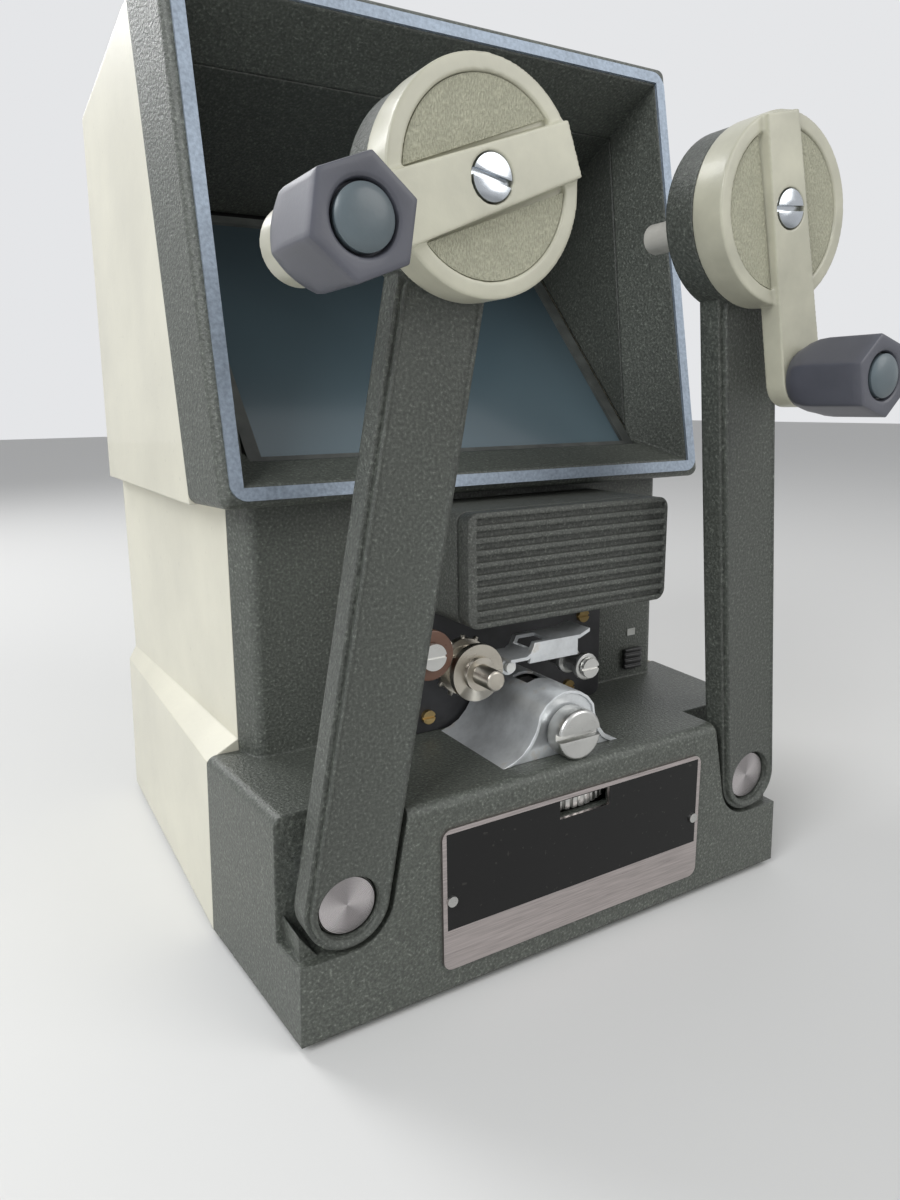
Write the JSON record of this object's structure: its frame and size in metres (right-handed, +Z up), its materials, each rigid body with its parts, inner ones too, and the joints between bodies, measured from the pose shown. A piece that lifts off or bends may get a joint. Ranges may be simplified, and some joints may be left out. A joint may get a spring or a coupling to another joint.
{
  "type": "8 mm film editor viewer",
  "caption": "Tabletop film viewer with a sloping hooded screen, film gate under a lamp house, and two swing-out geared rewind arms with cranks.",
  "frame": {"origin": "middle of the whole outline in plan, at the level of the table", "axes": "+Z up, -Y towards the operator, +X to the operator's right"},
  "size_m": [0.158, 0.1976, 0.235],
  "materials": {
    "grey_enamel": "hammered satin enamel on a die casting",
    "ivory_enamel": "smooth ivory enamel",
    "bright_trim": "bright polished edge strip",
    "black_card": "dull black",
    "base_steel": "dull grey paint",
    "dark_rubber": "dull rubber",
    "screw_steel": "plated steel",
    "ground_screen": "ground translucent screen",
    "mirror_glass": "front-silvered glass",
    "cap_aluminium": "turned",
    "arm_enamel": "hammered satin enamel, dark head",
    "gear_plastic": "natural moulded",
    "spindle_plastic": "off-white moulded",
    "crank_plastic": "aged ivory moulded",
    "knob_plastic": "dusky grey moulded",
    "crank_insert": "pebbled leathercloth",
    "cap_plastic": "blue-grey button",
    "lamp_house_enamel": "dark satin enamel",
    "socket_plastic": "brown-black moulding",
    "lamp_glass": "clear envelope",
    "lens_glass": "polished",
    "mechanism_black": "black paint",
    "channel_chrome": "plated sheet",
    "sprocket_steel": "turned and plated",
    "brown_roller": "brown moulding",
    "plate_aluminium": "brushed, with a black field",
    "switch_plastic": "black moulding"
  },
  "bodies": {
    "case": {"base_casting": "grey_enamel", "bottom_plate": "base_steel", "case_screws": "screw_steel", "condenser_lens": "lens_glass", "cord_grommet": "dark_rubber", "feet": "dark_rubber", "film_channel": "channel_chrome", "hood_bezel": "bright_trim", "hood_front": "grey_enamel", "hood_liner": "grey_enamel", "lamp": "lamp_glass", "lamp_cover": "lamp_house_enamel", "lamp_housing": "lamp_house_enamel", "lamp_socket": "socket_plastic", "left_pivot_bolt": "cap_aluminium", "left_pivot_washer": "cap_aluminium", "lens_mount": "mechanism_black", "lower_mirror": "mirror_glass", "mechanism_plate": "mechanism_black", "mechanism_screws": "screw_steel", "mirror_brackets": "black_card", "nameplate": "plate_aluminium", "nameplate_pins": "screw_steel", "path_studs": "screw_steel", "prism_barrel": "mechanism_black", "projection_lens": "lens_glass", "rear_cover": "ivory_enamel", "rear_mirror": "mirror_glass", "right_pivot_bolt": "cap_aluminium", "right_pivot_washer": "cap_aluminium", "screen": "ground_screen", "screen_frame": "black_card", "transformer": "base_steel"},
    "left_arm": {"left_arm": "arm_enamel"},
    "left_idler": {"left_idler_gear": "gear_plastic"},
    "left_spindle": {"left_spindle": "spindle_plastic", "left_crank_screw": "screw_steel"},
    "left_crank": {"left_crank": "crank_plastic", "left_crank_inserts": "crank_insert", "left_knob_stud": "screw_steel"},
    "left_knob": {"left_crank_knob": "knob_plastic", "left_knob_cap": "cap_plastic"},
    "right_arm": {"right_arm": "arm_enamel"},
    "right_idler": {"right_idler_gear": "gear_plastic"},
    "right_spindle": {"right_spindle": "spindle_plastic", "right_crank_screw": "screw_steel"},
    "right_crank": {"right_crank": "crank_plastic", "right_crank_inserts": "crank_insert", "right_knob_stud": "screw_steel"},
    "right_knob": {"right_crank_knob": "knob_plastic", "right_knob_cap": "cap_plastic"},
    "sprocket": {"sprocket": "sprocket_steel"},
    "prism": {"prism": "lens_glass", "prism_shaft": "sprocket_steel"},
    "framing_knob": {"framing_knob": "sprocket_steel"},
    "focus_ring": {"focus_ring": "sprocket_steel"},
    "left_guide_roller": {"left_guide_roller": "brown_roller"},
    "right_guide_roller": {"right_guide_roller": "sprocket_steel"},
    "gate_lever": {"gate_lever": "channel_chrome"},
    "lamp_switch": {"lamp_switch": "switch_plastic"}
  },
  "joints": [
    {"name": "left_arm_swing", "type": "hinge", "parent": "case", "child": "left_arm", "pos_m": [-0.06255, -0.06035, 0.03185], "axis": [0, -1, 0], "range_deg": [0, 66.4]},
    {"name": "left_crank_turn", "type": "hinge", "parent": "left_arm", "child": "left_crank", "pos_m": [-0.0332, -0.06985, 0.17742], "axis": [0, 1, 0], "continuous": true},
    {"name": "left_idler_turn", "type": "hinge", "parent": "left_arm", "child": "left_idler", "pos_m": [-0.0313, -0.06785, 0.18683], "axis": [0, 1, 0], "continuous": true},
    {"name": "left_spindle_turn", "type": "hinge", "parent": "left_arm", "child": "left_spindle", "pos_m": [-0.0332, -0.04885, 0.17742], "axis": [0, 1, 0], "continuous": true},
    {"name": "left_knob_turn", "type": "hinge", "parent": "left_crank", "child": "left_knob", "pos_m": [-0.06942, -0.08585, 0.1638], "axis": [0, 1, 0], "continuous": true},
    {"name": "right_arm_swing", "type": "hinge", "parent": "case", "child": "right_arm", "pos_m": [0.06255, -0.06035, 0.03185], "axis": [0, 1, 0], "range_deg": [0, 60.4]},
    {"name": "right_crank_turn", "type": "hinge", "parent": "right_arm", "child": "right_crank", "pos_m": [0.04858, -0.06985, 0.17969], "axis": [0, 1, 0], "continuous": true},
    {"name": "right_idler_turn", "type": "hinge", "parent": "right_arm", "child": "right_idler", "pos_m": [0.04767, -0.06785, 0.18925], "axis": [0, 1, 0], "continuous": true},
    {"name": "right_spindle_turn", "type": "hinge", "parent": "right_arm", "child": "right_spindle", "pos_m": [0.04858, -0.04885, 0.17969], "axis": [0, 1, 0], "continuous": true},
    {"name": "right_knob_turn", "type": "hinge", "parent": "right_crank", "child": "right_knob", "pos_m": [0.05728, -0.08585, 0.14198], "axis": [0, 1, 0], "continuous": true},
    {"name": "sprocket_turn", "type": "hinge", "parent": "case", "child": "sprocket", "pos_m": [-0.01741, -0.04105, 0.07178], "axis": [0, 1, 0], "continuous": true},
    {"name": "prism_turn", "type": "hinge", "parent": "case", "child": "prism", "pos_m": [0.0015, -0.04105, 0.057], "axis": [0, 1, 0], "continuous": true},
    {"name": "framing_knob_turn", "type": "hinge", "parent": "case", "child": "framing_knob", "pos_m": [0.0015, -0.05985, 0.057], "axis": [0, 1, 0], "range_deg": [-45, 45]},
    {"name": "focus_ring_turn", "type": "hinge", "parent": "case", "child": "focus_ring", "pos_m": [0.0015, -0.04105, 0.0398], "axis": [0, 0, 1], "range_deg": [-30, 30]},
    {"name": "left_roller_turn", "type": "hinge", "parent": "case", "child": "left_guide_roller", "pos_m": [-0.031, -0.04105, 0.0785], "axis": [0, 1, 0], "continuous": true},
    {"name": "right_roller_turn", "type": "hinge", "parent": "case", "child": "right_guide_roller", "pos_m": [0.017, -0.04105, 0.0676], "axis": [0, 1, 0], "continuous": true},
    {"name": "gate_lever_lift", "type": "hinge", "parent": "case", "child": "gate_lever", "pos_m": [-0.0067, -0.04105, 0.071], "axis": [0, -1, 0], "range_deg": [0, 10]},
    {"name": "lamp_switch_slide", "type": "slide", "parent": "case", "child": "lamp_switch", "axis": [0, 0, -1], "range_m": [0, 0.002]}
  ],
  "couplings": [
    {"joint": "left_idler_turn", "follows": "left_crank_turn", "ratio": 3},
    {"joint": "left_spindle_turn", "follows": "left_crank_turn", "ratio": -3},
    {"joint": "right_idler_turn", "follows": "right_crank_turn", "ratio": 3},
    {"joint": "right_spindle_turn", "follows": "right_crank_turn", "ratio": -3},
    {"joint": "prism_turn", "follows": "sprocket_turn", "ratio": -3}
  ]
}
